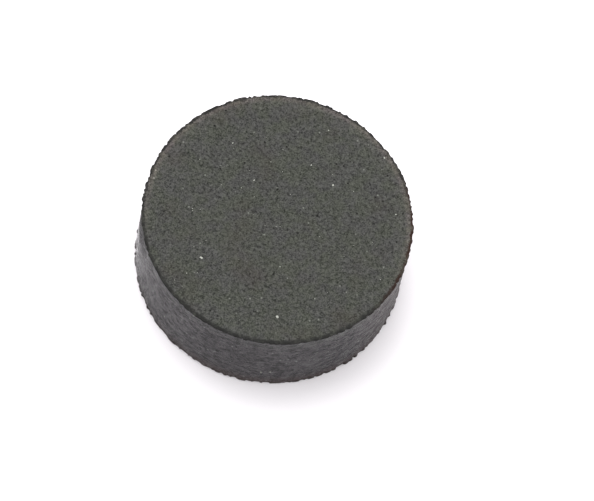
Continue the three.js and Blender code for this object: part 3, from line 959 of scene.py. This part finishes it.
def plated_magnet():
    section = ring_section("ring_magnet", MAGNET_BORE, 0.08, 0.08)
    ring = turned("plated_magnet", section, segments=160, steps=6)
    finished(ring, "motor", "magnet", "ring_magnet")


def brush_place():
    """The negative brush's middle in X, and its toe and tip in Y."""
    low, high = reach("brush_negative")
    return centre_of("brush_negative")[0], low[1], high[1]


def flex_sheet():
    """One film: a disc under the magnet, a neck folded round the plate, a paddle for the pads."""
    side = math.degrees(math.asin(NOTCH_Y / FILM_RADIUS))
    disc = arc((0, 0), FILM_RADIUS, side, 180 - side, 128)
    film = plate("flex_film", [disc, circle(0, 0, FILM_HOLE)], FILM_LOW, FILM_LOW + FILM, 0.02)
    paddle = box_corners(*PADDLE, 0.25)
    joined(film, plate("paddle", [paddle], PADDLE_LOW, PADDLE_LOW + FILM, 0.02))

    fold_high, fold_low = FILM_LOW + FILM / 2, PADDLE_LOW + FILM / 2
    middle, bend = (fold_high + fold_low) / 2, (fold_high - fold_low) / 2
    fold = arc((NOTCH_Y - 0.05, middle), bend, 90, 270, 20)
    neck = [(NOTCH_Y + 0.3, fold_high), *fold, (-2.9, fold_low)]
    joined(film, strip("neck", neck, 0, NECK_WIDTH, FILM, 0.02))
    finished(film, "motor", "polyimide", "flex_circuit")


def flex_tracks():
    """Copper raised on the film, from spots under the brushes' feet to the neck."""
    height, neck_x, bend_y, neck_y = 0.015, 0.65, -1.9, -2.6
    low, high = FILM_LOW + FILM - 0.01, FILM_LOW + FILM + height
    x, toe, _ = brush_place()
    foot_y = toe + 0.26
    bend = bend_between((x, bend_y), (-neck_x, neck_y), 5)
    near = [(x, foot_y), (x, bend_y), *bend, (-neck_x, NOTCH_Y + 0.1)]
    far_angle = math.degrees(math.atan2(-foot_y, -x))
    far = arc((0, 0), math.hypot(x, foot_y), far_angle, -60, 20)
    far += [*bend_between(far[-1], (neck_x, neck_y), 4), (neck_x, NOTCH_Y + 0.1)]
    tracks = [plate("track", [ribbon(line, 0.34)], low, high, 0.008) for line in (near, far)]
    for spot_x, spot_y in ((x, foot_y), (-x, -foot_y)):
        spot = circle(spot_x, spot_y, 0.42, 48)
        tracks.append(plate("spot", [spot], low, high - 0.003, 0.008))
    finished(merged("flex_tracks", tracks), "motor", "copper_wire")


def contact_land(node):
    """A gold land with rounded corners and the dents of a test probe."""
    low, high = reach(node)
    outline = box_corners(*low[:2], *high[:2], 0.2)
    land = plate(node.replace("contact_pad", "gold_land"), [outline], low[2], high[2], 0.01)
    x, y = centre_of(node)
    dent_radius, dent_depth = 0.09, 0.012
    for dx, dy in ((-0.35, 0.12), (0.28, -0.16)):
        dent = circle(x + dx, y + dy, dent_radius, 20)
        cut(land, dent, low[2] - 0.05, low[2] + dent_depth, 0.004)
    finished(land, "motor", "gold_plate", node)


def leaf_brush(node, body):
    """A leaf spring whose arm splits into two tines, which droop a little at their ends."""
    x, toe, tip = brush_place()
    half = BRUSH_THICKNESS / 2
    foot_z = levels("brush_negative")[0] + half
    contact_z = levels("commutator_segment_1")[0] - PRESS_GAP - half
    heel, rise, crest, flat_end, droop = -0.95, -0.55, -0.25, 0.3, 0.16
    flat = (flat_end, contact_z)
    arm = bezier((heel, foot_z), (rise, foot_z + 2 * half), (crest, contact_z), flat, 28)
    middle = ((flat_end + tip) / 2, contact_z)
    end = bezier(flat, middle, middle, (tip - 0.02, contact_z - droop), 8)[1:]
    line = [(toe, foot_z), (toe + 0.1, foot_z), (heel - 0.1, foot_z), *arm, *end]
    split, slot = 12, 0.1
    root, tines = line[: split + 3], line[split:]
    leaf = strip(node, root, x, BRUSH_WIDTH, BRUSH_THICKNESS, 0.02)
    tine_width = (BRUSH_WIDTH - slot) / 2
    for side in (-1, 1):
        tine_x = x + side * (BRUSH_WIDTH - tine_width) / 2
        joined(leaf, strip("tine", tines, tine_x, tine_width, BRUSH_THICKNESS, 0.018))
    hinge = [Vector((x, heel - 0.04, foot_z)), Vector((x, heel + 0.3, foot_z))]
    if node == "brush_positive":
        half_turn = Matrix.Rotation(math.pi, 4, "Z")
        leaf.data.transform(half_turn)
        hinge = [half_turn @ point for point in hinge]
    leaf.name = node.replace("brush", "leaf_brush")
    finished(leaf, body, "spring_bronze", node, bends_from=hinge)


def solder_dome(node):
    """A low, slightly lopsided cone of solder with a concave foot."""
    low, high = reach(node)
    centre_x, centre_y = centre_of(node)
    radius, height = (high[0] - low[0]) / 2, high[2] - low[2]
    foot = [(0, 0), (1, 0), (0.97, 0.1), (0.8, 0.3)]
    cone = [(0.6, 0.62), (0.38, 0.88), (0.16, 0.985), (0, 1)]
    dome = turned(node, [(radius * r, height * h) for r, h in foot + cone], segments=48)
    for vertex in dome.data.vertices:
        x, y, z = vertex.co
        dents = abs(perlin(5 * x + 10 * centre_x, 5 * y, 9 * z))
        swell = 1 - 0.16 * dents * min(1, z / height * 3)
        vertex.co = (centre_x + x * swell, centre_y + y * swell, low[2] + z)
    dome.name = node.replace("joint", "fillet")
    finished(dome, "motor", "solder", node, sharp_degrees=60)


def thrust_washer(node, body):
    section = ring_section(node, WASHER_BORE, 0.02, 0.04)
    washer = turned(node.replace("washer", "nylon_washer"), section, segments=96)
    finished(washer, body, "washer_nylon", node)


# ---------------- the rotor

def rotor_outline(radius, hub):
    """A sector on the heavy side, joined to a disc round the bearing."""
    low, high = HEAVY_SIDE - ROTOR_HALF_ANGLE, HEAVY_SIDE + ROTOR_HALF_ANGLE
    ease = math.degrees(ROTOR_CORNER / radius)
    outline = arc((0, 0), radius, low + ease, high - ease, 96)
    outline += softened(polar(radius, high), outline[-1], polar(hub, high), ROTOR_CORNER)
    outline += arc((0, 0), hub, high + 4, low + 356, 48)
    outline += softened(polar(radius, low), outline[-1], outline[0], ROTOR_CORNER)
    return outline


def bearing_sleeve():
    low, top = levels("bearing")
    chamfer, edge = 0.06, 0.02
    inner, outer = BEARING_BORE + chamfer, BEARING_RADIUS - chamfer
    section = [(BEARING_BORE, low + chamfer), (inner, low)]
    section += [(outer, low), (BEARING_RADIUS, low + chamfer)]
    section += [(BEARING_RADIUS, top - chamfer), (outer, top)]
    section += [(inner, top), (BEARING_BORE, top - chamfer)]
    sleeve = turned("bearing_sleeve", [(*corner, edge) for corner in section], segments=96)
    finished(sleeve, "rotor", "sintered_bronze", "bearing")


def bearing_hole():
    return circle(0, 0, BEARING_RADIUS + PRESS_GAP, 96)


def resin_frame():
    """The moulded resin, with ejector marks and channels for the coils' ends."""
    bottom, top = levels("rotor_frame")
    outlines = [rotor_outline(ROTOR_RADIUS, ROTOR_HUB), bearing_hole()]
    for degrees in COIL_DIRECTIONS.values():
        outlines.append(circle(*polar(COIL_CENTRE_RADIUS, degrees), COIL_RADIUS + FIT_GAP, 96))
    inner, outer = WEIGHT_INNER - FIT_GAP, WEIGHT_OUTER + FIT_GAP
    half_angle = WEIGHT_HALF_ANGLE + math.degrees(FIT_GAP / inner)
    outlines.append(sector(inner, outer, HEAVY_SIDE, half_angle, 24, corner=0.12))
    resin = plate("resin_frame", outlines, bottom, top, 0.05)
    mark_radius, mark_depth = 0.09, 0.03
    for radius, degrees in ((4.1, 10), (1.5, 57), (1.5, 123), (4.1, 170)):
        ejector_mark = circle(*polar(radius, degrees), mark_radius, 32)
        cut(resin, ejector_mark, top - mark_depth, top + 0.1, 0.005)
    channel_start, channel_end, channel_width, channel_depth = 1.05, 1.62, 0.16, 0.12
    for degrees in COIL_DIRECTIONS.values():
        line = [polar(channel_start, degrees), polar(channel_end, degrees)]
        cut(resin, ribbon(line, channel_width), top - channel_depth, top + 0.1, 0.01)
    finished(resin, "rotor", "rotor_resin", "rotor_frame")


def printed_board():
    """The commutator's board, with tracks from the bars to the coils' solder spots."""
    bottom, top = levels("commutator_board")
    outlines = [rotor_outline(BOARD_RADIUS, BOARD_HUB), bearing_hole()]
    board = plate("printed_board", outlines, bottom, top, 0.015)
    finished(board, "rotor", "laminate", "commutator_board")

    height, track_width, spot_radius, spot_out = 0.012, 0.16, 0.24, 3.9
    high = bottom + 0.01
    tracks, spots = [], []
    for bar, degrees in ((30, 25), (90, 78), (150, 155), (90, 102)):
        outward = [polar(radius, degrees) for radius in (2.4, 3.4, spot_out)]
        route = ribbon([polar(BOARD_HUB, bar), *outward], track_width)
        tracks.append(plate("board_track", [route], bottom - height, high, 0.006))
        spot = circle(*outward[-1], spot_radius, 32)
        spots.append(plate("board_spot", [spot], bottom - 2 * height, high, 0.01))
    finished(merged("board_tracks", tracks), "rotor", "laminate")
    finished(merged("board_solder_spots", spots), "rotor", "solder")


def commutator_bar(number):
    node = f"commutator_segment_{number}"
    bottom, top = levels(node)
    step = 360 / BAR_COUNT
    half_angle = step / 2 - math.degrees(BAR_GAP / (BAR_INNER + BAR_OUTER))
    outline = sector(BAR_INNER, BAR_OUTER, step * (number - 0.5), half_angle, 20, corner=0.05)
    bar = plate(f"commutator_bar_{number}", [outline], bottom, top, 0.012)
    finished(bar, "rotor", "gold_plate", node)


def wound_coil(node):
    """A winding whose section is a loop of scallops that creeps on by one wire each turn."""
    bottom, top = levels(node)
    wire, stations, samples = 0.085, 80, 6
    inset = wire / 2
    inner, outer = COIL_BORE + inset, COIL_RADIUS - inset
    low, high = bottom + inset, top - inset
    rows, columns = round((high - low) / wire), round((outer - inner) / wire)
    marks = np.cumsum((0, columns, rows, columns, rows))
    radii, heights = (inner, outer, outer, inner, inner), (low, low, high, high, low)
    total = int(marks[-1]) * samples
    along = np.arange(total) / samples
    scallop = inset * (2 * np.sqrt(1 - 0.96 * (2 * (along % 1) - 1) ** 2) - 1)

    def surface(ahead):
        """The winding's surface at every sample, moved on along its section by some wires."""
        moved = (along + ahead) % marks[-1]
        return np.array((np.interp(moved, marks, radii), np.interp(moved, marks, heights)))

    points, faces, loops = [], [], []
    for station in range(stations):
        turn = station / stations
        run, rise = surface(turn + 0.5) - surface(turn - 0.5)
        radius, z = surface(turn) + scallop * np.array((rise, -run)) / np.hypot(run, rise)
        angle = 2 * math.pi * turn
        loops.append(list(range(len(points), len(points) + total)))
        points += zip(radius * math.cos(angle), radius * math.sin(angle), z)
    loops.append(loops[0][samples:] + loops[0][:samples])
    for loop, following in zip(loops, loops[1:]):
        faces += band(loop, following)
    coil = cleaned(mesh_object(node.replace("coil", "wound_coil"), points, faces))
    centre = polar(COIL_CENTRE_RADIUS, COIL_DIRECTIONS[node])
    coil.data.transform(Matrix.Translation((*centre, 0)))
    finished(coil, "rotor", "copper_wire", node, sharp_degrees=50)


def coil_leads():
    """The coils' ends, laid over their tops and through the channels to the hub."""
    lead_radius = 0.04
    coil_top, frame_top = levels("coil_left")[1], levels("rotor_frame")[1]
    to_hub = [(1.7, coil_top + 0.05), (1.45, frame_top - 0.06), (1.25, frame_top - 0.07)]
    to_hub += [(1.1, frame_top - 0.075), (1.02, frame_top - 0.14)]
    leads = []
    for degrees in COIL_DIRECTIONS.values():
        for first, aside in ((2.25, -0.05), (1.72, 0.05)):
            across = Vector(polar(aside, degrees + 90))
            route = [(first + 0.15, coil_top - 0.1), (first, coil_top + 0.045), *to_hub]
            places = [(*(Vector(polar(out, degrees)) + across), z) for out, z in route]
            leads.append(tube("coil_lead", places, lead_radius))
    finished(merged("coil_leads", leads), "rotor", "copper_wire", sharp_degrees=60)


def heavy_block():
    bottom, top = levels("counterweight")
    outline = sector(WEIGHT_INNER, WEIGHT_OUTER, HEAVY_SIDE, WEIGHT_HALF_ANGLE, 32, corner=0.12)
    block = plate("heavy_block", [outline], bottom, top, 0.06, steps=4)
    dimple_out, dimple_radius, dimple_depth = 3.1, 0.35, 0.05
    dimple = circle(*polar(dimple_out, HEAVY_SIDE), dimple_radius, 48)
    cut(block, dimple, top - dimple_depth, top + 0.1, 0.02)
    finished(block, "rotor", "tungsten", "counterweight")


# ---------------- camera, floor and light

def camera():
    """Looks down at the middle of the jacket's top, rolled, and aimed a little to one side."""
    tilt = Matrix.Rotation(math.radians(90 - CAMERA_ELEVATION), 4, "X")
    rolled = tilt @ Matrix.Rotation(math.radians(CAMERA_ROLL), 4, "Z")
    target = Vector((0, 0, JACKET_HEIGHT))
    place = target + tilt @ Vector((0, 0, CAMERA_DISTANCE))
    aim = target + rolled @ Vector((AIM_RIGHT, -AIM_DOWN, 0))
    z_axis = (place - aim).normalized()
    x_axis = (rolled @ Vector((0, 1, 0))).cross(z_axis).normalized()
    axes = Matrix((x_axis, z_axis.cross(x_axis), z_axis)).transposed().to_4x4()
    lens = bpy.data.cameras.new("camera")
    lens.sensor_width = SENSOR_WIDTH
    lens.lens = LENS
    lens.clip_start, lens.clip_end = 0.005, 10
    made = placed("camera", lens)
    made.matrix_world = Matrix.Translation(place * MM) @ axes
    bpy.context.scene.camera = made


def key_light():
    """One soft light, in metres and watts, behind the part on the left. It faces the part."""
    place, size, power = Vector((-0.09, 0.13, 0.3)), 0.3, 1.0
    lamp = bpy.data.lights.new("key", "AREA")
    lamp.size = size
    lamp.energy = power
    made = placed("key", lamp)
    made.location = place
    made.rotation_euler = place.to_track_quat("Z", "Y").to_euler()
    made.visible_glossy = False


def studio_world():
    """Light that dims towards the horizon, for metal to reflect, but white in the picture."""
    world = bpy.data.worlds.new("studio")
    world.use_nodes = True
    sky = Nodes(world.node_tree)
    height = sky.add("SeparateXYZ", "Z", {"Vector": sky.add("TexCoord", "Generated")})
    dome = sky.fade(height, 0.0, 0.5, 0.35, 1.38)
    seen = sky.add("Mix", 0, {0: sky.add("LightPath", "Is Camera Ray"), 2: dome, 3: 1.25})
    sky.feed(world.node_tree.nodes["Background"], {"Color": (1, 1, 1), "Strength": seen})
    bpy.context.scene.world = world
    bpy.context.scene.view_settings.view_transform = "Standard"


def paper_floor():
    paper = Surface("white_paper", specular=0.1)
    paper.set(Base_Color=(0.87, 0.845, 0.87), Roughness=0.9)
    edge = FLOOR_REACH * MM
    corners = [(-edge, -edge, 0), (edge, -edge, 0), (edge, edge, 0), (-edge, edge, 0)]
    floor = mesh_object("floor", corners, [(0, 1, 2, 3)])
    floor.data.materials.append(paper.material)


camera()
studio_world()
paper_floor()
key_light()

slots = (
    rubber, filler, can_steel, plate_steel, shaft_steel, magnet, polyimide, gold_plate,
    spring_bronze, solder, washer_nylon, sintered_bronze, rotor_resin, laminate, copper_wire,
    tungsten,
)
materials = {slot.__name__: slot() for slot in slots}

rubber_jacket()
pale_grains()

can_shell()
base_disc()
shaft_pin()
plated_magnet()
flex_sheet()
flex_tracks()
contact_land("contact_pad_positive")
contact_land("contact_pad_negative")
leaf_brush("brush_positive", "positive_brush")
leaf_brush("brush_negative", "negative_brush")
solder_dome("solder_joint_positive")
solder_dome("solder_joint_negative")
thrust_washer("lower_washer", "lower_thrust_washer")
thrust_washer("upper_washer", "upper_thrust_washer")

bearing_sleeve()
resin_frame()
printed_board()
for number in range(1, BAR_COUNT + 1):
    commutator_bar(number)
for node in COIL_DIRECTIONS:
    wound_coil(node)
coil_leads()
heavy_block()
